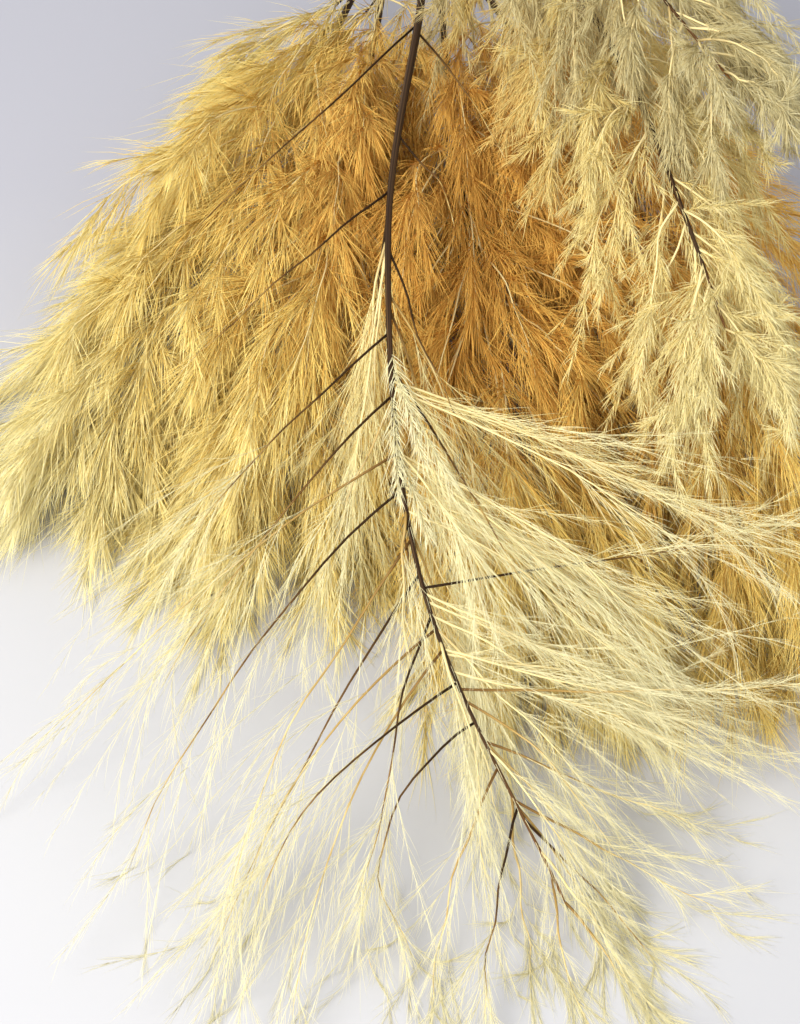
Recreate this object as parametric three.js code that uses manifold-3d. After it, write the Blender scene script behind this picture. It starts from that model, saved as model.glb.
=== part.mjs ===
// A tied bundle of seven dried pampas grass stalks, lying on a flat surface.
// Lengths are in millimetres. +Z is up, the plumes point towards -Y and the cut ends towards +Y.
import * as THREE from 'three';
import { mergeVertices } from 'three/addons/utils/BufferGeometryUtils.js';
import Module from 'manifold-3d';

// Driving dimensions
const CLEARANCE = 0.4; // air kept between neighbouring pieces
const STEM_RADIUS_AT_CUT = 3.1;
const STEM_RADIUS_AT_PLUME = 2.0;
const STEM_SPACING = 7.2; // between stem centres where the twine holds them
const STEM_LENGTH_BEHIND_TIE = 200;
const CUT_END_SPREAD = 1.7; // how much wider the stems stand at their cut ends than at the tie
const TWINE_THICKNESS = 2.4;
const TWINE_TURNS = 4;

// How finely the shapes are divided
const STEM_SIDES = 10;
const STEM_ROWS = 14;
const PLUME_SIDES = 18;
const PLUME_ROWS = 18;
const TIE_SIDES = 28;
const TIE_POINTS_PER_TURN = 4;

// How the fullness of a plume changes from base to tip: above 1, the first moves the fullest place
// towards the tip; below 1, the second makes both ends rounder.
const PLUME_FULL_LATE = 1.4;
const PLUME_ROUND_ENDS = 0.6;

const UP = new THREE.Vector3(0, 0, 1);
const NEARLY_ZERO = 1e-6;
const MERGE_DISTANCE = 1e-4;

// Each stalk: the clock direction of its stem inside the tie in degrees (null for the middle one),
// how much longer its cut end is than the usual length, the line of its flower head from base to
// tip, and the head's half width and half thickness. A stalk lies on the ones before it.
const STALKS = [
  {
    name: 'left_outer', direction: 210, extraLength: -12, halfWidth: 66, halfThickness: 24,
    line: [[-16, -104, 22], [-40, -180, 25], [-72, -244, 22], [-108, -322, 12]],
  },
  {
    name: 'right_outer', direction: 330, extraLength: 6, halfWidth: 68, halfThickness: 24,
    line: [[17, -104, 22], [52, -184, 25], [88, -266, 22], [120, -370, 12]],
  },
  {
    name: 'left_inner', direction: 150, extraLength: 14, halfWidth: 46, halfThickness: 25,
    line: [[-9, -114, 32], [-18, -196, 29], [-30, -260, 24], [-44, -336, 12]],
  },
  {
    name: 'right_inner', direction: 270, extraLength: -20, halfWidth: 50, halfThickness: 25,
    line: [[7, -114, 26], [12, -200, 29], [22, -280, 24], [42, -364, 12]],
  },
  {
    name: 'centre_front', direction: null, extraLength: 0, halfWidth: 76, halfThickness: 20,
    line: [[-1, -106, 44], [1, -184, 73], [-8, -283, 74], [0, -373, 48], [46, -474, 8]],
  },
  {
    name: 'right_front', direction: 30, extraLength: 20, halfWidth: 50, halfThickness: 20,
    line: [[13, -104, 46], [34, -180, 86], [53, -258, 98], [68, -316, 90], [88, -372, 64]],
  },
  {
    name: 'top', direction: 90, extraLength: -8, halfWidth: 44, halfThickness: 18,
    line: [[2, -100, 52], [16, -150, 94], [42, -208, 122], [82, -296, 114]],
  },
];

const wasm = await Module();
wasm.setup();

const plumeMaterial = new THREE.MeshStandardMaterial({ color: 0xdcc389, roughness: 0.95 });
const stemMaterial = new THREE.MeshStandardMaterial({ color: 0xb7914f, roughness: 0.6 });
const twineMaterial = new THREE.MeshStandardMaterial({ color: 0xa8814f, roughness: 0.95 });

// The tie lies on the surface, so its middle is one outer radius up.
const tieInnerRadius = STEM_SPACING + STEM_RADIUS_AT_CUT + CLEARANCE;
const tieOuterRadius = tieInnerRadius + TWINE_THICKNESS;
const tieWidth = TWINE_TURNS * TWINE_THICKNESS;

// Moves a unit shape onto a curve. Its Y runs from 0 to 1 along the curve, its X goes sideways and
// its Z upwards, both stretched by sizeAt(t) = [half width, half height]. Nothing goes below z = 0.
function bendAlong(geometry, curve, sizeAt) {
  const points = geometry.attributes.position;
  for (let i = 0; i < points.count; i += 1) {
    const t = THREE.MathUtils.clamp(points.getY(i), 0, 1);
    const along = curve.getTangent(t);
    const side = new THREE.Vector3().crossVectors(along, UP).normalize();
    const above = new THREE.Vector3().crossVectors(side, along);
    const [halfWidth, halfHeight] = sizeAt(t);
    const place = curve.getPoint(t);
    place.addScaledVector(side, points.getX(i) * halfWidth);
    place.addScaledVector(above, points.getZ(i) * halfHeight);
    points.setXYZ(i, place.x, place.y, Math.max(place.z, 0));
  }
  return geometry;
}

// The middle of a stem at the tie, or at its cut end where the bundle spreads. The bundle's middle
// is as high as the tie, or higher where the lowest stem needs it.
function stemPlace(stalk, spread, y) {
  const reach = STEM_SPACING * spread;
  const height = Math.max(reach + STEM_RADIUS_AT_CUT, tieOuterRadius);
  const place = new THREE.Vector3(0, y, height);
  if (stalk.direction !== null) {
    const angle = THREE.MathUtils.degToRad(stalk.direction);
    place.x += reach * Math.cos(angle);
    place.z += reach * Math.sin(angle);
  }
  return place;
}

// A stem from its cut end, straight through the tie, to the base of its plume. With air around it,
// the same shape cuts room for the stem out of the plumes.
function stemShape(stalk, air) {
  const base = new THREE.Vector3(...stalk.line[0]);
  const curve = new THREE.CatmullRomCurve3([
    stemPlace(stalk, CUT_END_SPREAD, STEM_LENGTH_BEHIND_TIE + stalk.extraLength),
    stemPlace(stalk, 1, tieWidth),
    stemPlace(stalk, 1, -tieWidth),
    base,
  ]);
  const unit = new THREE.CylinderGeometry(1, 1, 1, STEM_SIDES, STEM_ROWS).translate(0, 0.5, 0);
  return bendAlong(unit, curve, (t) => {
    const radius = THREE.MathUtils.lerp(STEM_RADIUS_AT_CUT, STEM_RADIUS_AT_PLUME, t) + air;
    return [radius, radius];
  });
}

// A plume's soft outline: thin at its base, fullest near the middle and rounded at its tip.
function plumeShape(stalk, air) {
  const curve = new THREE.CatmullRomCurve3(stalk.line.map((point) => new THREE.Vector3(...point)));
  const unit = new THREE.SphereGeometry(1, PLUME_SIDES, PLUME_ROWS);
  const points = unit.attributes.position;
  for (let i = 0; i < points.count; i += 1) {
    const ringRadius = Math.hypot(points.getX(i), points.getZ(i));
    const scale = ringRadius > NEARLY_ZERO ? 1 / ringRadius : 0;
    const t = Math.acos(THREE.MathUtils.clamp(-points.getY(i), -1, 1)) / Math.PI;
    points.setXYZ(i, points.getX(i) * scale, t, points.getZ(i) * scale);
  }
  return bendAlong(unit, curve, (t) => {
    const fullness = Math.sin(Math.PI * t ** PLUME_FULL_LATE) ** PLUME_ROUND_ENDS;
    return [stalk.halfWidth * fullness + air, stalk.halfThickness * fullness + air];
  });
}

function toSolid(geometry) {
  const shape = geometry.clone();
  shape.deleteAttribute('normal');
  shape.deleteAttribute('uv');
  const merged = mergeVertices(shape, MERGE_DISTANCE);
  return new wasm.Manifold(new wasm.Mesh({
    numProp: 3,
    vertProperties: Float32Array.from(merged.attributes.position.array),
    triVerts: Uint32Array.from(merged.index.array),
  }));
}

function toGeometry(solid) {
  const mesh = solid.getMesh();
  const geometry = new THREE.BufferGeometry();
  geometry.setAttribute('position', new THREE.BufferAttribute(mesh.vertProperties, 3));
  geometry.setIndex(new THREE.BufferAttribute(mesh.triVerts, 1));
  geometry.computeVertexNormals();
  return geometry;
}

// A ring of twine laid in turns side by side, with a groove between them.
function tieGeometry() {
  const profile = [];
  const grooveDepth = TWINE_THICKNESS / 2;
  for (let i = 0; i <= TWINE_TURNS * TIE_POINTS_PER_TURN; i += 1) {
    const turns = i / TIE_POINTS_PER_TURN;
    const bulge = Math.abs(Math.sin(Math.PI * turns));
    const radius = tieOuterRadius - grooveDepth * (1 - bulge);
    profile.push(new THREE.Vector2(radius, turns * TWINE_THICKNESS - tieWidth / 2));
  }
  profile.push(new THREE.Vector2(tieInnerRadius, tieWidth / 2));
  profile.push(new THREE.Vector2(tieInnerRadius, -tieWidth / 2));
  profile.push(profile[0].clone());
  return new THREE.LatheGeometry(profile, TIE_SIDES);
}

function named(name, geometry, material) {
  const mesh = new THREE.Mesh(geometry, material);
  mesh.name = name;
  return mesh;
}

const bundle = new THREE.Group();

for (const stalk of STALKS) {
  bundle.add(named(`stem_${stalk.name}`, stemShape(stalk, 0), stemMaterial));
}

// Each plume gives way to all the stems and to the plumes that it lies on.
let taken = toSolid(stemShape(STALKS[0], CLEARANCE));
for (const stalk of STALKS.slice(1)) {
  taken = taken.add(toSolid(stemShape(stalk, CLEARANCE)));
}
for (const stalk of STALKS) {
  const plume = toSolid(plumeShape(stalk, 0)).subtract(taken);
  bundle.add(named(`plume_${stalk.name}`, toGeometry(plume), plumeMaterial));
  taken = taken.add(toSolid(plumeShape(stalk, CLEARANCE)));
}

const tie = named('twine_tie', tieGeometry(), twineMaterial);
tie.position.z = tieOuterRadius;
bundle.add(tie);

// The origin is the middle of the bundle's footprint, on the surface.
const box = new THREE.Box3().setFromObject(bundle);
const centre = box.getCenter(new THREE.Vector3());
bundle.position.set(-centre.x, -centre.y, 0);

export default bundle;
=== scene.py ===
import math

import bpy
import numpy as np
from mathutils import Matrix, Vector


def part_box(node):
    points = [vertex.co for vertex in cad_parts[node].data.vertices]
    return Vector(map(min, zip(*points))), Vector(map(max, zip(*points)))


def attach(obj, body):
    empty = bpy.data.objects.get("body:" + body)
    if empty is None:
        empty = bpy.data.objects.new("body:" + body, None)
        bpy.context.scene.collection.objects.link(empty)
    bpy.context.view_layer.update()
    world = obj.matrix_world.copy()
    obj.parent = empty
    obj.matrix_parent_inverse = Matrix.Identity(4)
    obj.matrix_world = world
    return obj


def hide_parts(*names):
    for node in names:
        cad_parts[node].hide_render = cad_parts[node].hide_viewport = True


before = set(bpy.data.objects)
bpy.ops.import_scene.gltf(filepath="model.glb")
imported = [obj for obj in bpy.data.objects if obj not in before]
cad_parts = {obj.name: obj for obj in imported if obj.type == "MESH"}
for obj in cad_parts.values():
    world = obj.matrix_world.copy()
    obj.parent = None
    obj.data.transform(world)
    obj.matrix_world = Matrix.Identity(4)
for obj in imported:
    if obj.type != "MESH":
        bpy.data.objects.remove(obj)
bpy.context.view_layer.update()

# The looks of a tied bundle of dried pampas grass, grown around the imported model.
# Paths and places are in metres. The dimensions named for plumes, stems and twine are in millimetres.
# The plumes point towards -Y, the cut ends towards +Y, and +Z is up.
MM = 0.001
UP = np.array([0.0, 0.0, 1.0])
TINY = 1e-12
NUDGE = np.array([1e-6, 0, 0])  # gives a path that runs straight up a sideways direction
ODD_DIRECTION = (0.31, 0.17, 0.94)  # no path runs this way, so it can start any path's rings

# The design's own origin is on the surface under the twine tie.
tie_low, tie_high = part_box("twine_tie")
ORIGIN = np.array([(tie_low.x + tie_high.x) / 2, (tie_low.y + tie_high.y) / 2, 0.0])

# Every plume: the line of its main stalk from base to tip, in millimetres from the design's origin,
# then how it grows. Other lengths are in millimetres too, and angles in degrees.
# - Branches leave the stalk "all_round", or right and left, scattered up and down by "lift", with
#   "right_share" of them to the right. Before "hanging_until" along the stalk they hang under it.
#   At its base they have "full_at_base" of their full length, and "bare" of each carries no sprays.
# - "droop" and "curl" say how much a piece sags and how much it bends at random, and "follow" how
#   much it bends back along what it grew from.
# - Tints run from 0, golden brown, to 1, pale straw. "branch_tints" says how ripe the branches are.
USUAL = {
    "first_branch": 0.04, "full_at_base": 0.45, "branch_angles": (24, 48), "branch_droop": 0.22,
    "all_round": False, "right_share": 0.5, "hanging_until": 0, "bare": 0.22,
    "spray_radius": 0.13, "hair_follow": 0.1,
}
LOWER = {
    **USUAL, "branches": 70, "branch_length": 74, "branch_angles": (20, 58),
    "all_round": True, "sprays": 10, "spray_length": 32, "spray_droop": 0.16,
    "spray_curl": 0.08, "hairs": 30, "hair_length": 18, "hair_angles": (8, 32),
    "hair_radius": 0.12, "hair_steps": 3, "stalk_radius": 1.2, "branch_tints": (0.8, 1.0),
    "heart_tint_and_shade": 1.0,
}
UPPER = {
    **USUAL, "branches": 50, "branch_length": 48, "branch_angles": (36, 78), "branch_droop": 0.42,
    "bare": 0.06, "lift": 0.6, "sprays": 11, "spray_length": 19, "spray_droop": 0.3,
    "spray_curl": 0.34, "hairs": 46, "hair_length": 6.5, "hair_angles": (22, 56),
    "hair_follow": 0.35, "hair_radius": 0.11, "hair_steps": 4, "stalk_radius": 1.6,
    "branch_tints": (0.5, 1.0), "heart_tint_and_shade": 0.9,
}
FRONT = "centre_front"
PLUMES = {
    "left_outer": {
        **LOWER, "seed": 11, "tint": 0.34, "branch_length": 80, "full_at_base": 0.75,
        "line": [(-16, -104, 22), (-38, -180, 25), (-64, -240, 22), (-84, -286, 13)],
    },
    "right_outer": {
        **LOWER, "seed": 12, "tint": 0.12, "branches": 120, "branch_length": 84,
        "full_at_base": 0.9, "heart_tint_and_shade": 0.65,
        "line": [(17, -104, 22), (49, -184, 25), (78, -266, 24), (98, -346, 13)],
    },
    "left_inner": {
        **LOWER, "seed": 13, "tint": 0.30, "branch_length": 82,
        "line": [(-9, -114, 32), (-18, -196, 29), (-30, -260, 24), (-38, -310, 13)],
    },
    "right_inner": {
        **LOWER, "seed": 14, "tint": 0.14, "branches": 92, "branch_length": 86,
        "full_at_base": 0.7,
        "line": [(7, -114, 26), (12, -200, 29), (22, -280, 24), (36, -340, 13)],
    },
    FRONT: {
        **USUAL, "seed": 15, "tint": 0.52, "branches": 26, "first_branch": 0.46,
        "branch_length": 64, "lift": 0.5, "right_share": 0.75, "hanging_until": 0.58,
        "sprays": 10, "spray_length": 42, "spray_droop": 0.28, "spray_curl": 0.17,
        "spray_radius": 0.085, "hairs": 31, "hair_length": 10.5, "hair_angles": (9, 32),
        "hair_radius": 0.065, "hair_steps": 4, "stalk_radius": 1.6, "branch_tints": (0.2, 0.7),
        "heart_tint_and_shade": 1.3,
        "line": [(-1, -106, 44), (1, -184, 73), (-8, -283, 74), (0, -373, 48), (34, -440, 10)],
    },
    "right_front": {
        **UPPER, "seed": 16, "tint": 0.46,
        "line": [(13, -104, 46), (34, -180, 86), (52, -246, 98), (64, -294, 92), (73, -322, 80)],
    },
    "top": {
        **UPPER, "seed": 17, "tint": 0.55, "branches": 58, "branch_length": 54,
        "spray_length": 23, "first_branch": 0.2, "right_share": 0.62,
        "line": [(2, -100, 52), (16, -150, 92), (42, -208, 118), (76, -272, 114)],
    },
}

# The long open branches of the middle front plume: how far along its stalk each one leaves, its
# angle to the stalk in degrees (towards -X is positive), its length in millimetres, the share of
# it that is bare, how much it bends back along the stalk, and how much it droops.
OPEN_BRANCHES = [
    (0.29, 30, 132, 0.80, 0.10, 0.06),
    (0.46, 40, 86, 0.85, 0.10, 0.05),
    (0.575, 48, 78, 0.55, 0.10, 0.08),
    (0.62, 48, 92, 0.45, 0.15, 0.12),
    (0.66, 66, 104, 0.25, 0.15, 0.12),
    (0.685, 58, 112, 0.35, 0.25, 0.10),
    (0.705, 14, 18, 0.90, 0.00, 0.05),
    (0.72, 44, 104, 0.22, 0.10, 0.12),
    (0.745, 47, 100, 0.45, 0.05, 0.15),
    (0.775, 36, 64, 0.50, 0.05, 0.10),
    (0.785, 70, 92, 0.28, 0.25, 0.08),
    (0.80, 60, 96, 0.20, 0.30, 0.08),
    (0.825, 80, 84, 0.30, 0.20, 0.05),
    (0.855, 84, 76, 0.45, 0.50, 0.05),
    (0.89, 52, 62, 0.20, 0.20, 0.05),
    (0.92, 50, 52, 0.50, 0.25, 0.05),
    (0.30, -36, 60, 0.90, 0.20, 0.05),
    (0.41, -40, 36, 0.90, 0.20, 0.05),
    (0.51, -22, 66, 0.70, 0.10, 0.08),
    (0.60, -28, 74, 0.75, 0.10, 0.06),
    (0.61, -70, 100, 0.05, 0.10, 0.02),
    (0.66, -56, 76, 0.05, 0.10, 0.08),
    (0.70, -54, 72, 0.05, 0.10, 0.08),
    (0.755, -88, 98, 0.30, 0.00, -0.04),
    (0.765, -52, 70, 0.05, 0.10, 0.06),
    (0.80, -58, 74, 0.05, 0.05, 0.04),
    (0.83, -66, 86, 0.16, 0.00, -0.04),
    (0.87, -46, 56, 0.16, 0.05, 0.00),
    (0.915, -36, 52, 0.16, 0.05, 0.00),
    (0.93, -20, 46, 0.40, 0.10, 0.00),
]

# Short dense tufts that lie on the middle front stalk: how far along it they leave, the angle to it
# and the clock direction in degrees, and the length in millimetres.
TUFTS = [(0.585, 16, 125, 36), (0.60, 22, 150, 40), (0.615, 9, 95, 32), (0.655, 14, 140, 26)]
TUFT_LOOKS = {"hairs": 100, "hair_length": 7.5, "hair_angles": (26, 44), "hair_follow": 0.15}

# How many times thicker than usual some hairs are, and how much paler.
USUAL_HAIRS = (1, 0)
FRONT_STALK_HAIRS = (1.7, 0.25)
TUFT_HAIRS = (2.2, 0.3)

ALL_BARE = 0.7  # branches with a larger bare share carry no sprays at all
DARK_FROM = 0.3  # open branches with this bare share or more start out dark
TIDY_BELOW = 0.15  # open branches with a smaller bare share are close parallel bundles of hairs
COMPANIONS = 2  # further branches beside each of those bundles

# Hairs near the heart of the bundle are golden brown, partly their own colour and partly painted
# shade in the depth of the bundle. Further out they turn to pale straw, by "heart_tint_and_shade" at
# this distance.
HEART = (22, -235, 30)
HEART_REACH = 190

# How finely the paths and tubes are divided
RACHIS_STEPS = 60
BRANCH_STEPS = 14
SPRAY_STEPS = 7
STALK_SIDES = 10
BRANCH_SIDES = 5
HAIR_SIDES = 3
HAIRS_PER_PIECE = 12000

# How the fullness of a plume changes from base to tip: below 1, the first moves the fullest place
# towards the base, and the second makes both ends rounder. The third is the share of the full
# length that is left at the tip.
PLUME_FULL_LATE = 0.9
PLUME_ROUND_ENDS = 0.8
FULL_AT_TIP = 0.45

# The first and last places where something grows, as shares of the way along what it grows from,
# and how far it is scattered from its place.
LAST_BRANCH = 0.985
LAST_SPRAY = 0.93
FIRST_HAIR = 0.08
FIRST_HAIR_ON_STALK = 0.1
LAST_HAIR = 0.98
BRANCH_SCATTER = 0.012
COMPANION_SCATTER = 0.02
SPRAY_SCATTER = 0.04
HAIR_SCATTER = 0.02

# The least and the most of what varies at random, as shares of the usual length or in degrees
BRANCH_LENGTHS = (0.75, 1.15)
COMPANION_LENGTHS = (0.75, 1.0)
SPRAY_LENGTHS = (0.7, 1.25)
SPRAY_SCALES = (0.4, 1.3)  # longer branches carry longer sprays, within these limits
HAIR_LENGTHS = (0.6, 1.2)
SPRAY_ANGLES = (14, 32)
ALL_ROUND = (-0.2, 1.2)  # clock directions in half turns: mostly sideways and up
HANGING = (1.15, 1.85)  # clock directions in half turns: mostly down
OPEN_DIPS = (-0.1, 0.15)  # how far open branches point down from level, in radians
COMPANION_SPREAD = 4
TINT_SPREAD = 0.10
FLYAWAY_SHARE = 0.05  # these hairs are much longer than the rest
FLYAWAY_LENGTH = 1.7

# How sizes change from foot to tip of what a piece grows on: the factor at the foot, and how much
# of it is lost by the tip. The last one changes from the heart of the bundle outwards.
BRANCH_ANGLE_TREND = (1.1, 0.45)
SPRAY_LENGTH_TREND = (1.15, 0.6)
HAIR_LENGTH_TREND = (1.1, 0.35)
HAIR_ANGLE_TREND = (1.1, 0.5)
HAIR_RADIUS_TREND = (1.2, 0.45)

# How pieces bend
BRANCH_FOLLOW = 0.25
BRANCH_CURL = 0.06
OPEN_CURL = 0.03
BRANCH_WAVER = 1.1
WAVES = (1.2, 2.9)  # how many waves the two kinds of small bends have along a path
SPRAY_FOLLOW = 0.2
TIDY_CLOSER = 0.5  # how much smaller the angles of sprays on tidy branches are
TIDY_STIFFER = 0.8  # how much less those sprays droop
TUFT_CURL = 0.05
HAIR_DROOP = 0.12
HAIR_CURL = 0.05

# Radii
BRANCH_RADII = (0.36, 0.09)  # at the foot and at the tip
SPRAY_TIP_RADIUS = 0.05
STALK_TIP_RADIUS = 0.3
STALK_TAPER = 0.8  # below 1, a stalk thins early
HAIR_TIP = 0.3  # a hair's radius at its tip, as a share of the one at its root
HAIRS_ON_STALK = 5  # times as many as on a spray

# Ripeness of the open branches
DARK_TINTS = (0.02, 0.12)
FEATHERED_TINT = 0.3
TIDY_TINT = 0.8

GOLDEN_RATIO = 0.618034  # steps of this much spread evenly, however many there are
TINT_BAND = 0.004  # how much of the colour map's height one hair takes
TINT_ENDS = (0.02, 0.98)  # the first two in a piece take the whole height of the colour map
CAP_ON_MAP = 0.03  # how much of the colour map's width the closed start of a tube takes
SETTLE_HEIGHT = 0.15  # above the surface, for what would go through it


def unit(vectors):
    return vectors / np.maximum(np.linalg.norm(vectors, axis=-1, keepdims=True), TINY)


def smooth_line(points, steps):
    """A smooth line through a few points, as an array of evenly numbered places."""
    points = np.array(points, float)
    padded = np.vstack([2 * points[0] - points[1], points, 2 * points[-1] - points[-2]])
    places = np.linspace(0, len(points) - 1, steps)
    index = np.minimum(places.astype(int), len(points) - 2)
    u = (places - index)[:, None]
    a, b, c, d = (padded[index + k] for k in range(4))
    second = 2 * a - 5 * b + 4 * c - d
    third = 3 * b - a - 3 * c + d
    return 0.5 * (2 * b + (c - a) * u + second * u**2 + third * u**3)


def sample(paths, fractions):
    """Points and directions at fractions (N, M) along each of N paths (N, K, 3)."""
    count, steps, _ = paths.shape
    places = np.clip(fractions, 0, 1) * (steps - 1)
    index = np.minimum(places.astype(int), steps - 2)
    rows = np.arange(count)[:, None]
    start = paths[rows, index]
    step = paths[rows, index + 1] - start
    return start + step * (places - index)[..., None], unit(step)


def grow(parents, fractions, angles, turns, lengths, steps, follow, droop, rng, curl):
    """Children that leave their parents at an angle, in the clock direction given by turns (0 is
    sideways, a quarter turn is up), then bend back along the parent, down and at random."""
    start, along = sample(parents, fractions)
    start = start.reshape(-1, 3)
    along = along.reshape(-1, 3)
    side = unit(np.cross(along, UP) + NUDGE)
    above = np.cross(side, along)
    angles, turns, lengths, follow, droop = (
        np.ravel(np.broadcast_to(v, fractions.shape))[:, None]
        for v in (angles, turns, lengths, follow, droop)
    )
    outward = np.cos(turns) * side + np.sin(turns) * above
    leave = np.cos(angles) * along + np.sin(angles) * outward
    bend = follow * (along - leave) - droop * UP
    bend = bend + rng.normal(0, curl, bend.shape)
    u = np.linspace(0, 1, steps)[None, :, None]
    paths = start[:, None] + lengths[:, None] * (leave[:, None] * u + bend[:, None] * u**2)
    return settle(paths)


def settle(paths):
    """What would go through the surface lies along it."""
    paths[..., 2] = np.maximum(paths[..., 2], SETTLE_HEIGHT * MM)
    return paths


def waver(paths, amount, rng):
    """Small natural bends that grow from the foot of each path."""
    count, steps, _ = paths.shape
    u = np.linspace(0, 1, steps)[None, :, None]
    for waves in WAVES:
        swing = rng.normal(0, amount / waves, (count, 1, 3))
        start = rng.uniform(0, 2 * math.pi, (count, 1, 1))
        wave = np.sin(2 * math.pi * waves * u + start) - np.sin(start)
        paths = paths + swing * wave * np.sqrt(u)
    return settle(paths)


def tube_faces(steps, sides):
    """The faces of one tube: their corners, how many each one has, and their colour map."""
    corners, sizes, map_u, map_v = [], [], [], []
    across = np.linspace(CAP_ON_MAP, 1, steps)
    for i in range(steps - 2):
        for j in range(sides):
            k = (j + 1) % sides
            corners += [i * sides + j, i * sides + k, (i + 1) * sides + k, (i + 1) * sides + j]
            map_u += [across[i], across[i], across[i + 1], across[i + 1]]
            map_v += [j, j + 1, j + 1, j]
            sizes.append(4)
    tip = (steps - 1) * sides
    for j in range(sides):
        corners += [tip - sides + j, tip - sides + (j + 1) % sides, tip]
        map_u += [across[-2], across[-2], 1]
        map_v += [j, j + 1, j + 0.5]
        sizes.append(3)
    corners += list(range(sides))[::-1]
    angles = np.arange(sides) * 2 * math.pi / sides
    map_u += list(CAP_ON_MAP / 2 * (1 + np.cos(angles)))
    map_v += list(sides / 2 * (1 + np.sin(angles)))
    sizes.append(sides)
    return np.array(corners), sizes, np.stack([map_u, np.array(map_v) / sides], axis=-1)


def tubes(paths, radii, sides, tints=None):
    """Closed pointed tubes along paths (N, K, 3). Their colour map holds the way along the tube
    across. Upwards it holds the tint, or the way round the tube where no tints are given."""
    count, steps, _ = paths.shape
    along = unit(np.gradient(paths, axis=1))
    reference = unit(np.cross(paths[:, -1] - paths[:, 0], ODD_DIRECTION))[:, None]
    side = unit(reference - (reference * along).sum(-1, keepdims=True) * along)
    above = np.cross(along, side)
    angles = np.arange(sides) * 2 * math.pi / sides
    ring = side[:, :, None] * np.cos(angles)[:, None] + above[:, :, None] * np.sin(angles)[:, None]
    rings = paths[:, :-1, None] + ring[:, :-1] * radii[:, :-1, None, None]
    points = np.concatenate([rings.reshape(count, -1, 3), paths[:, -1:]], axis=1)
    points[..., 2] = np.maximum(points[..., 2], 0)

    corners, sizes, colour_map = tube_faces(steps, sides)
    offsets = np.arange(count)[:, None] * points.shape[1]
    uv = np.tile(colour_map, (count, 1, 1))
    if tints is not None:
        uv[..., 1] = np.clip(tints, 0, 1)[:, None] * (1 - TINT_BAND) + uv[..., 1] * TINT_BAND
    return {
        "points": points.reshape(-1, 3),
        "corners": (offsets + corners).ravel(),
        "sizes": np.tile(sizes, count),
        "uv": uv.reshape(-1, 2),
    }


def joined(parts):
    """Several sets of tubes as one."""
    shift = 0
    corners = []
    for part in parts:
        corners.append(part["corners"] + shift)
        shift += len(part["points"])
    whole = {"corners": np.concatenate(corners)}
    for key in ("points", "sizes", "uv"):
        whole[key] = np.concatenate([part[key] for part in parts])
    return whole


def piece(name, shape, material, nodes, smooth=False):
    """A mesh object that rides on the bundle and stands for its CAD nodes."""
    mesh = bpy.data.meshes.new(name)
    mesh.vertices.add(len(shape["points"]))
    mesh.vertices.foreach_set("co", shape["points"].astype(np.float32).ravel())
    mesh.loops.add(len(shape["corners"]))
    mesh.loops.foreach_set("vertex_index", shape["corners"].astype(np.int32))
    mesh.polygons.add(len(shape["sizes"]))
    starts = np.concatenate([[0], np.cumsum(shape["sizes"])[:-1]])
    mesh.polygons.foreach_set("loop_start", starts.astype(np.int32))
    mesh.update(calc_edges=True)
    colour_map = mesh.uv_layers.new(name="OFBake")
    colour_map.data.foreach_set("uv", shape["uv"].astype(np.float32).ravel())
    if smooth:
        mesh.shade_smooth()
    mesh.materials.append(material)
    obj = bpy.data.objects.new(name, mesh)
    bpy.context.scene.collection.objects.link(obj)
    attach(obj, "root")
    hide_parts(*nodes)


# Materials

MIX_FIRST, MIX_SECOND, MIX_RESULT = 6, 7, 2  # the colour sockets of a mix node
WHITE = (1, 1, 1)


def new_material(name):
    material = bpy.data.materials.new(name)
    material.use_nodes = True
    tree = material.node_tree
    tree.nodes.clear()
    output = tree.nodes.new("ShaderNodeOutputMaterial")
    return material, tree, output.inputs["Surface"]


def colour_map_of(tree):
    """A piece's colour map, then the way along the piece and the tint that it holds."""
    uv = tree.nodes.new("ShaderNodeUVMap")
    uv.uv_map = "OFBake"
    split = tree.nodes.new("ShaderNodeSeparateXYZ")
    tree.links.new(uv.outputs["UV"], split.inputs[0])
    return uv.outputs["UV"], split.outputs["X"], split.outputs["Y"]


def new_surface(tree, output, roughness, specular):
    surface = tree.nodes.new("ShaderNodeBsdfPrincipled")
    surface.inputs["Roughness"].default_value = roughness
    surface.inputs["Specular IOR Level"].default_value = specular
    tree.links.new(surface.outputs[0], output)
    return surface.inputs["Base Color"]


def ramp(tree, stops, source):
    node = tree.nodes.new("ShaderNodeValToRGB")
    elements = node.color_ramp.elements
    while len(elements) < len(stops):
        elements.new(0.5)
    for element, (place, colour) in zip(elements, stops):
        element.position = place
        element.color = (*colour, 1)
    tree.links.new(source, node.inputs[0])
    return node.outputs["Color"]


def multiplied(tree, first, second):
    mix = tree.nodes.new("ShaderNodeMix")
    mix.data_type = "RGBA"
    mix.blend_type = "MULTIPLY"
    mix.inputs["Factor"].default_value = 1.0
    tree.links.new(first, mix.inputs[MIX_FIRST])
    tree.links.new(second, mix.inputs[MIX_SECOND])
    return mix.outputs[MIX_RESULT]


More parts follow.
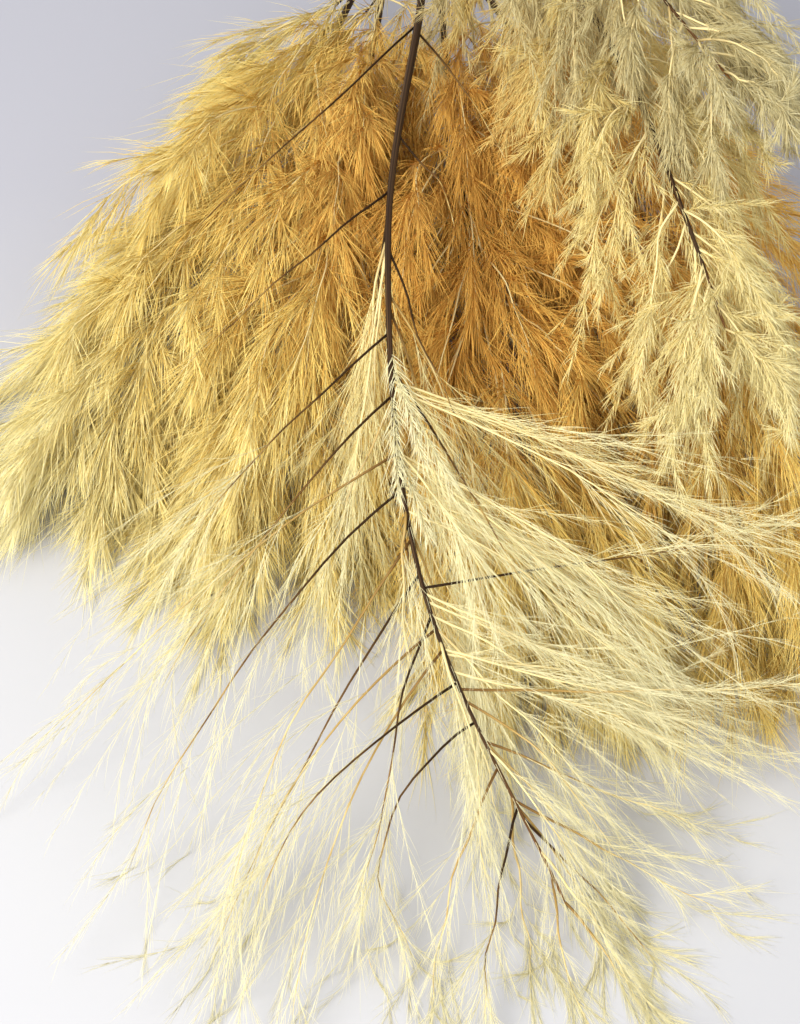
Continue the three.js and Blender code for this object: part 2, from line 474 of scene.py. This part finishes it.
# The colours of plant hair by tint, from golden brown in the depth, partly painted shade, to pale
# straw outside. The four plumes below are golden. Of the ones in front, the open middle one and the
# cream right one are darker, because their hairs light each other up less, and the top one is
# darker still, with painted shade for the less light that reaches it.
GOLDEN_STRAW = [
    (0.0, (0.86, 0.49, 0.10)),
    (0.3, (0.95, 0.72, 0.20)),
    (0.6, (0.97, 0.86, 0.40)),
    (1.0, (0.97, 0.94, 0.69)),
]
OPEN_STRAW = [
    (0.0, (0.78, 0.50, 0.13)),
    (0.3, (0.82, 0.65, 0.23)),
    (0.6, (0.91, 0.83, 0.43)),
    (0.85, (0.93, 0.88, 0.54)),
    # Painted shade: the last stop is darker than the one before it, so the open plume's outermost
    # hairs come out darker.
    (1.0, (0.82, 0.77, 0.48)),
]
CREAM_STRAW = [
    (0.0, (0.74, 0.44, 0.11)),
    (0.3, (0.83, 0.66, 0.24)),
    (0.6, (0.89, 0.79, 0.39)),
    (1.0, (0.93, 0.88, 0.57)),
]
# Painted shade: the top plume's hair is darker all through, for the less light that reaches it.
PAINTED_SHADE_STRAW = [
    (0.0, (0.44, 0.29, 0.10)),
    (0.3, (0.53, 0.41, 0.17)),
    (0.6, (0.64, 0.56, 0.29)),
    (1.0, (0.79, 0.74, 0.48)),
]


def hair_material(name, colours):
    """Silky dry plant hair. Each hair is darker at its root and paler at its tip."""
    material, tree, output = new_material(name)
    _, way_along, tint_place = colour_map_of(tree)
    tint = ramp(tree, colours, tint_place)
    along = ramp(tree, [
        (0.0, (0.98, 0.93, 0.82)),
        (0.35, (1.0, 0.98, 0.94)),
        (1.0, WHITE),
    ], way_along)
    colour = new_surface(tree, output, roughness=0.6, specular=0.25)
    tree.links.new(multiplied(tree, tint, along), colour)
    return material


def grain_material(name, stops, along_scale, round_scale, roughness, specular):
    """Plant fibre: fine streaks that run along the piece."""
    material, tree, output = new_material(name)
    colour_map, along, _ = colour_map_of(tree)
    stretch = tree.nodes.new("ShaderNodeMapping")
    stretch.inputs["Scale"].default_value = (along_scale, round_scale, 1)
    tree.links.new(colour_map, stretch.inputs["Vector"])
    streaks = tree.nodes.new("ShaderNodeTexNoise")
    streaks.inputs["Scale"].default_value = 1.0
    streaks.inputs["Detail"].default_value = 4.0
    tree.links.new(stretch.outputs[0], streaks.inputs["Vector"])
    tint = ramp(tree, stops, streaks.outputs[0])
    colour = new_surface(tree, output, roughness, specular)
    tree.links.new(tint, colour)
    return material, tree, tint, along, colour


def stalk_material():
    """The main stalk inside a plume: nearly black brown with paler streaks, and tan at its tip."""
    material, tree, tint, along, colour = grain_material("pampas_stalk", [
        (0.35, (0.018, 0.009, 0.004)),
        (0.55, (0.045, 0.022, 0.008)),
        (0.75, (0.15, 0.080, 0.028)),
    ], along_scale=9, round_scale=14, roughness=0.6, specular=0.15)
    tan = ramp(tree, [
        (0.0, WHITE),
        (0.85, WHITE),
        (1.0, (4.5, 4.0, 3.2)),
    ], along)
    tree.links.new(multiplied(tree, tint, tan), colour)
    return material


def branch_material():
    """The branches of a plume: from foot to tip they turn from nearly black brown to orange tan,
    and the ripest ones start out tan."""
    material, tree, output = new_material("pampas_branch")
    colour_map, along, ripe_at_foot = colour_map_of(tree)
    blotches = tree.nodes.new("ShaderNodeTexNoise")
    blotches.inputs["Scale"].default_value = 9.0
    tree.links.new(colour_map, blotches.inputs["Vector"])
    ripeness = tree.nodes.new("ShaderNodeMath")
    ripeness.operation = "MULTIPLY_ADD"
    tree.links.new(along, ripeness.inputs[0])
    tree.links.new(blotches.outputs[0], ripeness.inputs[1])
    tree.links.new(ripe_at_foot, ripeness.inputs[2])
    tint = ramp(tree, [
        (0.0, (0.016, 0.008, 0.003)),
        (0.18, (0.035, 0.016, 0.004)),
        (0.33, (0.15, 0.075, 0.02)),
        (0.46, (0.42, 0.27, 0.08)),
        (0.72, (0.80, 0.66, 0.32)),
    ], ripeness.outputs[0])
    tree.links.new(tint, new_surface(tree, output, roughness=0.6, specular=0.12))
    return material


GOLDEN_HAIR = hair_material("pampas_hair_golden", GOLDEN_STRAW)
HAIRS = {
    FRONT: hair_material("pampas_hair_open", OPEN_STRAW),
    "right_front": hair_material("pampas_hair_cream", CREAM_STRAW),
    # The top plume's hair is darkened with painted shade.
    "top": hair_material("pampas_hair_painted_shade", PAINTED_SHADE_STRAW),
}
STALK = stalk_material()
BRANCH = branch_material()


# Plumes


def taper(count, steps, start, end, power=1.0):
    """Radii that change from start to end along each of some paths."""
    u = np.linspace(0, 1, steps) ** power
    return np.broadcast_to(start * (1 - u) + end * u, (count, steps)).copy()


def lessened(trend, at):
    """A factor that loses the second value of its trend on the way from 0 to 1."""
    start, loss = trend
    return start - loss * at


def scatter(rng, amount, shape):
    return rng.uniform(-amount, amount, shape)


def both_ways(rng, count, spread, right_share):
    """Clock directions right or left, scattered up and down by spread."""
    places = (np.arange(count) * GOLDEN_RATIO) % 1
    return np.where(places < right_share, math.pi, 0.0) + rng.normal(0, spread, count)


def plume_branches(spec, rachis, rng):
    """The branches of one plume. Before hanging_until they hang under the stalk."""
    count = spec["branches"]
    at = np.linspace(spec["first_branch"], LAST_BRANCH, count)
    at += scatter(rng, BRANCH_SCATTER, count)
    at_base = spec["full_at_base"] * (1 - at) + FULL_AT_TIP * at
    swell = np.sin(math.pi * np.clip(at, 0, 1) ** PLUME_FULL_LATE) ** PLUME_ROUND_ENDS
    full = at_base + (1 - at_base) * swell
    lengths = spec["branch_length"] * MM * full * rng.uniform(*BRANCH_LENGTHS, count)
    degrees = rng.uniform(*spec["branch_angles"], count) * lessened(BRANCH_ANGLE_TREND, at)
    if spec["all_round"]:
        turns = rng.uniform(*ALL_ROUND, count) * math.pi
    else:
        turns = both_ways(rng, count, spec["lift"], spec["right_share"])
    hanging = at < spec["hanging_until"]
    turns[hanging] = rng.uniform(*HANGING, hanging.sum()) * math.pi
    paths = grow(rachis, at[None], np.radians(degrees), turns, lengths, BRANCH_STEPS,
                 BRANCH_FOLLOW, spec["branch_droop"], rng, BRANCH_CURL)
    return waver(paths, BRANCH_WAVER * MM, rng)


def open_branches(rachis, rng):
    """The branches of OPEN_BRANCHES and the companions of the tidy ones, with their bare shares."""
    rows = np.array(OPEN_BRANCHES)
    beside = np.repeat(rows[rows[:, 3] < TIDY_BELOW], COMPANIONS, axis=0)
    beside[:, 0] += scatter(rng, COMPANION_SCATTER, len(beside))
    beside[:, 1] += rng.normal(0, COMPANION_SPREAD, len(beside))
    beside[:, 2] *= rng.uniform(*COMPANION_LENGTHS, len(beside))
    at, angles, lengths, bare, follow, droop = np.concatenate([rows, beside]).T
    sides = np.where(angles < 0, math.pi, 0)
    turns = sides - np.sign(angles) * rng.uniform(*OPEN_DIPS, len(at))
    paths = grow(rachis, at[None], np.radians(abs(angles)), turns, lengths * MM, BRANCH_STEPS,
                 follow, droop, rng, OPEN_CURL)
    return waver(paths, BRANCH_WAVER * MM, rng), bare


def sprays_on(spec, branches, bare, tidy, rng):
    """The side sprays of each branch, past its bare share. They keep close to tidy branches."""
    shape = (len(branches), spec["sprays"])
    bare, tidy = bare[:, None], tidy[:, None]
    share = np.linspace(0, 1, spec["sprays"])[None] + scatter(rng, SPRAY_SCATTER, shape)
    at = bare + share * (LAST_SPRAY - bare)
    reach = np.linalg.norm(branches[:, -1] - branches[:, 0], axis=1)[:, None]
    scale = np.clip(reach / (spec["branch_length"] * MM), *SPRAY_SCALES)
    lengths = spec["spray_length"] * MM * scale * lessened(SPRAY_LENGTH_TREND, at)
    lengths *= rng.uniform(*SPRAY_LENGTHS, shape)
    angles = np.radians(rng.uniform(*SPRAY_ANGLES, shape)) * (1 - TIDY_CLOSER * tidy)
    turns = rng.uniform(0, 2 * math.pi, shape)
    droop = spec["spray_droop"] * (1 - TIDY_STIFFER * tidy)
    return grow(branches, at, angles, turns, lengths, SPRAY_STEPS, SPRAY_FOLLOW, droop, rng,
                spec["spray_curl"])


def tufts_on(rachis, rng):
    at, angles, turns, lengths = np.array(TUFTS).T
    return grow(rachis, at[None], np.radians(angles), np.radians(turns), lengths * MM,
                SPRAY_STEPS, 0, 0, rng, TUFT_CURL)


def hairs_on(spec, paths, number, first, rng):
    """A number of hairs on each path, past the first share of its length."""
    shape = (len(paths), number)
    at = first + np.linspace(0, 1, number)[None] * (LAST_HAIR - first)
    at = at + scatter(rng, HAIR_SCATTER, shape)
    lengths = spec["hair_length"] * MM * lessened(HAIR_LENGTH_TREND, at)
    lengths *= rng.uniform(*HAIR_LENGTHS, shape)
    lengths *= np.where(rng.random(shape) < FLYAWAY_SHARE, FLYAWAY_LENGTH, 1)
    degrees = rng.uniform(*spec["hair_angles"], shape) * lessened(HAIR_ANGLE_TREND, at)
    turns = rng.uniform(0, 2 * math.pi, shape)
    return grow(paths, at, np.radians(degrees), turns, lengths, spec["hair_steps"],
                spec["hair_follow"], HAIR_DROOP, rng, HAIR_CURL)


def plume_hairs(name, spec, rachis, carriers, rng):
    """The hairs of a plume, on all that carries them and on its main stalk, and their looks: how
    many times thicker than usual each one is, and how much paler."""
    groups = []
    for paths in carriers:
        groups.append((hairs_on(spec, paths, spec["hairs"], FIRST_HAIR, rng), USUAL_HAIRS))
    first = max(FIRST_HAIR_ON_STALK, spec["hanging_until"])
    on_stalk = hairs_on(spec, rachis, HAIRS_ON_STALK * spec["hairs"], first, rng)
    if name == FRONT:
        tuft_spec = {**spec, **TUFT_LOOKS}
        tufts = tufts_on(rachis, rng)
        on_tufts = hairs_on(tuft_spec, tufts, tuft_spec["hairs"], FIRST_HAIR, rng)
        groups += [(on_stalk, FRONT_STALK_HAIRS), (on_tufts, TUFT_HAIRS)]
    else:
        groups.append((on_stalk, USUAL_HAIRS))
    hairs = np.concatenate([paths for paths, _ in groups])
    looks = np.concatenate([np.tile(look, (len(paths), 1)) for paths, look in groups])
    return hairs, looks


def far_out(paths):
    """How far from the heart of the bundle each path ends, from 0 to 1."""
    away = np.linalg.norm(paths[:, -1] - ORIGIN - np.array(HEART) * MM, axis=-1)
    return np.clip(away / (HEART_REACH * MM), 0, 1)


def hair_tints_and_depth_shade(spec, hairs, rng):
    # Near the heart the tint falls towards golden brown: partly the hairs' own colour, partly painted
    # shade in the depth of the bundle.
    change = spec["heart_tint_and_shade"] * (far_out(hairs) - 0.5)
    return spec["tint"] + change + rng.normal(0, TINT_SPREAD, len(hairs))


def branch_tints(spec, bare, is_open, tidy, rng):
    """How ripe each branch starts out. The first two take the whole range."""
    tints = rng.uniform(*spec["branch_tints"], len(bare))
    tints[:2] = TINT_ENDS
    darkest = rng.uniform(*DARK_TINTS, is_open.sum())
    others = np.where(tidy[is_open], TIDY_TINT, FEATHERED_TINT)
    tints[is_open] = np.where(bare[is_open] >= DARK_FROM, darkest, others)
    return tints


def build_hairs(name, spec, hairs, looks, sprays, rng):
    """The hairs and sprays of a plume, shared out at random over pieces of equal size."""
    thicker, paler = looks.T
    tints = hair_tints_and_depth_shade(spec, hairs, rng) + paler
    spray_tints = hair_tints_and_depth_shade(spec, sprays, rng)
    hair_radius = spec["hair_radius"] * MM
    radii = taper(len(hairs), spec["hair_steps"], hair_radius, HAIR_TIP * hair_radius)
    radii *= (thicker * lessened(HAIR_RADIUS_TREND, far_out(hairs)))[:, None]
    spray_radii = taper(len(sprays), SPRAY_STEPS, spec["spray_radius"] * MM, SPRAY_TIP_RADIUS * MM)
    pieces = math.ceil(len(hairs) / HAIRS_PER_PIECE)
    hair_groups = np.array_split(rng.permutation(len(hairs)), pieces)
    spray_groups = np.array_split(rng.permutation(len(sprays)), pieces)
    for number, (group, spray_group) in enumerate(zip(hair_groups, spray_groups), start=1):
        group_tints = tints[group]
        group_tints[:2] = TINT_ENDS
        shape = joined([
            tubes(hairs[group], radii[group], HAIR_SIDES, group_tints),
            tubes(sprays[spray_group], spray_radii[spray_group], HAIR_SIDES,
                  spray_tints[spray_group]),
        ])
        material = HAIRS.get(name, GOLDEN_HAIR)
        piece(f"hairs_{name}_{number}", shape, material, [f"plume_{name}"])


def build_plume(name, spec):
    rng = np.random.default_rng(spec["seed"])
    line = ORIGIN + np.array(spec["line"], float) * MM
    rachis = smooth_line(line, RACHIS_STEPS)[None]
    branches = plume_branches(spec, rachis, rng)
    bare = np.full(len(branches), spec["bare"])
    if name == FRONT:
        showing, showing_bare = open_branches(rachis, rng)
        branches = np.concatenate([branches, showing])
        bare = np.concatenate([bare, showing_bare])
    is_open = np.arange(len(branches)) >= spec["branches"]
    tidy = is_open & (bare < TIDY_BELOW)
    feathered = bare < ALL_BARE
    sprays = sprays_on(spec, branches[feathered], bare[feathered], tidy[feathered], rng)

    # Feathered branches carry hairs on their outer half, and tidy ones on the inner half too.
    half = BRANCH_STEPS // 2
    carriers = [sprays, branches[feathered, half:], branches[tidy, :half + 1]]
    hairs, looks = plume_hairs(name, spec, rachis, carriers, rng)
    build_hairs(name, spec, hairs, looks, sprays, rng)

    stalk_radii = taper(
        1, RACHIS_STEPS, spec["stalk_radius"] * MM, STALK_TIP_RADIUS * MM, STALK_TAPER)
    stalk = tubes(rachis, stalk_radii, STALK_SIDES)
    piece(f"stalk_{name}", stalk, STALK, [f"plume_{name}"], smooth=True)

    foot, tip = BRANCH_RADII
    branch_radii = taper(len(branches), BRANCH_STEPS, foot * MM, tip * MM)
    ripeness = branch_tints(spec, bare, is_open, tidy, rng)
    twigs = tubes(branches, branch_radii, BRANCH_SIDES, ripeness)
    piece(f"branches_{name}", twigs, BRANCH, [f"plume_{name}"])


for plume_name, plume_spec in PLUMES.items():
    build_plume(plume_name, plume_spec)


# Stems and tie

# How the stems stand in the tie, in millimetres: the clock direction of each one in degrees, and
# how much longer its cut end is than the usual length.
STEMS = {
    "left_outer": (210, -12), "right_outer": (330, 6), "left_inner": (150, 14),
    "right_inner": (270, -20), FRONT: (None, 0), "right_front": (30, 20), "top": (90, -8),
}
STEM_SPACING = 7.2
STEM_SPREAD_AT_CUT = 1.7
STEM_LENGTH_BEHIND_TIE = 200
STEM_RADII = (3.05, 2.85, 1.95)  # at the cut end, in the tie and at the plume
STEM_STEPS = 64
STEM_SIDES = 20
STEM_SMOOTHINGS = 6
STEM_JOINTS = (0.17, 0.43, 0.74)  # how far along the stem, from its cut end
JOINT_SWELLING = 0.35
JOINT_WIDTH = 0.012
JOINT_SHADE_BEFORE = 0.02
JOINT_SHADE_AFTER = 0.012
CUT_RIM = 0.001  # how much of the colour map's width the rim of the cut end takes
TIE_HALF_WIDTH = (tie_high.y - tie_low.y) / 2 / MM
TIE_HEIGHT = (tie_low.z + tie_high.z) / 2 / MM


def stem_material():
    """Glossy golden straw with dark joints, pale pith where the stem is cut, and dark brown where
    it goes on into the plume."""
    material, tree, tint, along, colour = grain_material("pampas_stem", [
        (0.30, (0.40, 0.23, 0.075)),
        (0.50, (0.62, 0.42, 0.16)),
        (0.70, (0.76, 0.58, 0.27)),
    ], along_scale=5, round_scale=26, roughness=0.42, specular=0.35)
    stops = [(0.0, WHITE)]
    for joint in STEM_JOINTS:
        at = CAP_ON_MAP + joint * (1 - CAP_ON_MAP)
        stops.append((at - JOINT_SHADE_BEFORE, WHITE))
        stops.append((at, (0.36, 0.28, 0.22)))
        stops.append((at + JOINT_SHADE_AFTER, (0.8, 0.75, 0.7)))
    stops.append((1.0, (0.12, 0.10, 0.09)))
    joints = ramp(tree, stops, along)
    is_cut = tree.nodes.new("ShaderNodeMath")
    is_cut.operation = "LESS_THAN"
    is_cut.inputs[1].default_value = CAP_ON_MAP - CUT_RIM
    tree.links.new(along, is_cut.inputs[0])
    pith = tree.nodes.new("ShaderNodeMix")
    pith.data_type = "RGBA"
    pith.inputs[MIX_SECOND].default_value = (0.80, 0.70, 0.50, 1)
    tree.links.new(is_cut.outputs[0], pith.inputs["Factor"])
    tree.links.new(multiplied(tree, tint, joints), pith.inputs[MIX_FIRST])
    tree.links.new(pith.outputs[MIX_RESULT], colour)
    return material


def stem_path(name):
    """The middle of a stem from its cut end to its plume, and its radii, in millimetres."""
    direction, longer = STEMS[name]
    x, z = 0, 0
    if direction is not None:
        x = STEM_SPACING * math.cos(math.radians(direction))
        z = STEM_SPACING * math.sin(math.radians(direction))
    height_at_cut = max(STEM_SPACING * STEM_SPREAD_AT_CUT + STEM_RADII[0], TIE_HEIGHT)
    height_at_cut += z * STEM_SPREAD_AT_CUT
    places = np.array([
        (x * STEM_SPREAD_AT_CUT, STEM_LENGTH_BEHIND_TIE + longer, height_at_cut),
        (x, 2 * TIE_HALF_WIDTH, TIE_HEIGHT + z),
        (x, -2 * TIE_HALF_WIDTH, TIE_HEIGHT + z),
        PLUMES[name]["line"][0],
    ])
    along = np.linspace(places[0, 1], places[-1, 1], STEM_STEPS)
    x_along, z_along = (np.interp(-along, -places[:, 1], places[:, k]) for k in (0, 2))
    radius = np.interp(-along, [-places[0, 1], 0, -places[-1, 1]], STEM_RADII)
    path = np.stack([x_along, along, z_along], axis=1)
    for _ in range(STEM_SMOOTHINGS):
        path[1:-1] = (path[:-2] + 2 * path[1:-1] + path[2:]) / 4
    return path, radius


def build_stem(name, material):
    path, radius = stem_path(name)
    u = np.linspace(0, 1, STEM_STEPS)
    for joint in STEM_JOINTS:
        radius = radius + JOINT_SWELLING * np.exp(-((u - joint) / JOINT_WIDTH) ** 2)
    path = ORIGIN + path * MM
    path[:, 2] = np.maximum(path[:, 2], radius * MM)
    shape = tubes(path[None], radius[None] * MM, STEM_SIDES)
    piece(f"stem_{name}_stalk", shape, material, [f"stem_{name}"], smooth=True)


TWINE_TURNS = 4
TWINE_RADIUS = 1.15
TWINE_RING = 11.5  # from the middle of the bundle to the middle of the twine
TWINE_STEPS = 620
TUCK = 2.2  # how far each end dives between the stems
TUCKED_SHARE = 0.03
PLIES = 3
PLY_RADIUS = 0.52 * TWINE_RADIUS
PLY_TWISTS = 62
PLY_SIDES = 8
FIBRES_PER_PLY = 86
FIBRE_STEPS = 4
FIBRE_LENGTHS = (0.8, 2.4)
FIBRE_PLACES = (0.02, 0.98)
FIBRE_ANGLES = (0.2, 0.9)
FIBRE_RADII = (0.05, 0.02)  # at the foot and at the tip
FIBRE_FOLLOW = 0.3
FIBRE_DROOP = 0.1
FIBRE_CURL = 0.2
TWINE_SEED = 21


def twine_line(u):
    """The middle of the twine, wound side by side round the stems, with both ends tucked in."""
    angle = 2 * math.pi * TWINE_TURNS * u
    tucked = np.clip(1 - np.minimum(u, 1 - u) / TUCKED_SHARE, 0, 1)
    ring = TWINE_RING - TUCK * tucked**2
    y = (u - 0.5) * 2 * (TIE_HALF_WIDTH - TWINE_RADIUS)
    return np.stack([ring * np.cos(angle), y, TIE_HEIGHT + ring * np.sin(angle)], axis=-1)


def twine_plies():
    """The twine's plies, twisted round each other."""
    u = np.linspace(0, 1, TWINE_STEPS)
    middle = twine_line(u)
    outward = unit(middle - np.stack([0 * u, middle[:, 1], 0 * u + TIE_HEIGHT], axis=-1))
    sideways = np.array([0.0, 1.0, 0.0])
    twist = 2 * math.pi * PLY_TWISTS * u
    plies = []
    for k in range(PLIES):
        angle = (twist + 2 * math.pi * k / PLIES)[:, None]
        around = np.cos(angle) * outward + np.sin(angle) * sideways
        plies.append(middle + PLY_RADIUS * around)
    return ORIGIN + np.array(plies) * MM


def twine_fibres(plies):
    """Short stray fibres that stand off the twine."""
    rng = np.random.default_rng(TWINE_SEED)
    shape = (PLIES, FIBRES_PER_PLY)
    at = rng.uniform(*FIBRE_PLACES, shape)
    angles = rng.uniform(*FIBRE_ANGLES, shape)
    turns = rng.uniform(0, 2 * math.pi, shape)
    lengths = rng.uniform(*FIBRE_LENGTHS, shape) * MM
    return grow(plies, at, angles, turns, lengths, FIBRE_STEPS, FIBRE_FOLLOW, FIBRE_DROOP, rng,
                FIBRE_CURL)


def build_twine():
    plies = twine_plies()
    fibres = twine_fibres(plies)
    material = grain_material("jute_twine", [
        (0.30, (0.20, 0.115, 0.050)),
        (0.50, (0.40, 0.26, 0.125)),
        (0.70, (0.60, 0.43, 0.24)),
    ], along_scale=900, round_scale=6, roughness=0.85, specular=0.35)[0]
    foot, tip = FIBRE_RADII
    shape = joined([
        tubes(plies, np.full(plies.shape[:2], PLY_RADIUS * MM), PLY_SIDES),
        tubes(fibres, taper(len(fibres), FIBRE_STEPS, foot * MM, tip * MM), HAIR_SIDES),
    ])
    piece("twine_tie_turns", shape, material, ["twine_tie"], smooth=True)


STEM = stem_material()
for stem_name in STEMS:
    build_stem(stem_name, STEM)
build_twine()


# Floor, light and camera

FLOOR_SIZE = 40
FLOOR_PAINTED_LIGHT_SPAN = (-0.45, 0.05)  # the span of Y in which the painted light and shade on the floor change
CAMERA_ELEVATION = math.radians(50)
CAMERA_DISTANCE = 0.56
CAMERA_TARGET = ORIGIN + np.array([-5, -345, 40]) * MM


def stage_floor():
    bpy.ops.mesh.primitive_plane_add(size=FLOOR_SIZE, location=(0, 0, 0))
    floor = bpy.context.object
    floor.name = "floor"
    material, tree, output = new_material("floor")
    place = tree.nodes.new("ShaderNodeTexCoord")
    split = tree.nodes.new("ShaderNodeSeparateXYZ")
    tree.links.new(place.outputs["Object"], split.inputs[0])
    span = tree.nodes.new("ShaderNodeMapRange")
    span.inputs["From Min"].default_value = FLOOR_PAINTED_LIGHT_SPAN[0]
    span.inputs["From Max"].default_value = FLOOR_PAINTED_LIGHT_SPAN[1]
    tree.links.new(split.outputs["Y"], span.inputs["Value"])
    # Painted light and shade along Y: the floor is palest in a band across the middle, a little
    # darker towards the front, and darker and bluer towards the back, where the light falls off.
    pale = ramp(tree, [
        (0.0, (0.44, 0.44, 0.46)),
        (0.3, (0.49, 0.49, 0.50)),
        (0.5, (0.49, 0.49, 0.50)),
        (0.8, (0.42, 0.42, 0.46)),
        (1.0, (0.42, 0.42, 0.46)),
    ], span.outputs[0])
    tree.links.new(pale, new_surface(tree, output, roughness=0.8, specular=0.0))
    floor.data.materials.append(material)


def area_light(name, place, target, size, power, colour):
    light = bpy.data.lights.new(name, "AREA")
    light.shape = "DISK"
    light.size = size
    light.energy = power
    light.color = colour
    obj = bpy.data.objects.new(name, light)
    obj.location = place
    obj.rotation_euler = (Vector(target) - Vector(place)).to_track_quat("-Z", "Y").to_euler()
    bpy.context.scene.collection.objects.link(obj)


def stage_world():
    world = bpy.data.worlds.new("studio")
    world.use_nodes = True
    background = world.node_tree.nodes["Background"]
    background.inputs["Color"].default_value = (0.96, 0.97, 1.0, 1)
    background.inputs["Strength"].default_value = 0.9
    bpy.context.scene.world = world
    bpy.context.scene.view_settings.view_transform = "Standard"


def stage_camera():
    data = bpy.data.cameras.new("camera")
    data.lens = 80
    data.sensor_width = 36
    data.clip_start = 0.01
    looking = np.array([0, math.cos(CAMERA_ELEVATION), -math.sin(CAMERA_ELEVATION)])
    camera = bpy.data.objects.new("camera", data)
    camera.location = Vector(CAMERA_TARGET - looking * CAMERA_DISTANCE)
    camera.rotation_euler = Vector(looking).to_track_quat("-Z", "Y").to_euler()
    bpy.context.scene.collection.objects.link(camera)
    bpy.context.scene.camera = camera


stage_floor()
stage_world()
area_light(
    "key", place=(-0.45, -0.65, 0.6), target=(-0.03, -0.2, 0), size=0.6, power=9.2,
    colour=(1.0, 0.98, 0.95))
area_light(
    "fill", place=(1.1, -0.9, 1.2), target=(0, -0.15, 0), size=1.4, power=4, colour=WHITE)
stage_camera()
